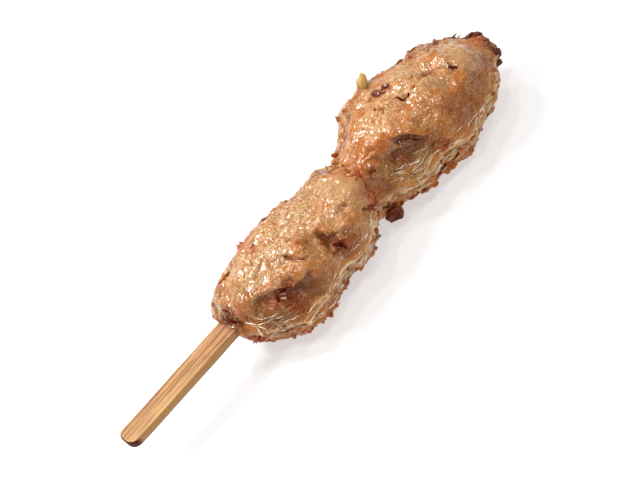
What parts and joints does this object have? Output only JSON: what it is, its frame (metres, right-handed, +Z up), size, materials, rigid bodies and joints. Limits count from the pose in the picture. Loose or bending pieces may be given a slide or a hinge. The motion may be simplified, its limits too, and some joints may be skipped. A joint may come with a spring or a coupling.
{
  "type": "minced meat skewer",
  "caption": "Flat bamboo stick threaded through pressed lumps of grilled minced meat, resting on their flattened bellies; eaten from the stick's bare handle end.",
  "frame": {"origin": "under the middle of the whole skewer, on the surface it lies on", "axes": "+X along the stick from its bare butt towards its buried point, +Y across it, +Z up"},
  "size_m": [0.1818, 0.0494, 0.0349],
  "materials": {
    "bamboo": "bare bamboo, satin, fine lengthwise grain",
    "near_mince": "grilled mince, greasy gloss, browned in patches",
    "far_mince": "grilled mince, greasy gloss, charred at its tip"
  },
  "bodies": {
    "root": {"stick": "bamboo", "near_lump": "near_mince", "far_lump": "far_mince"}
  },
  "joints": []
}
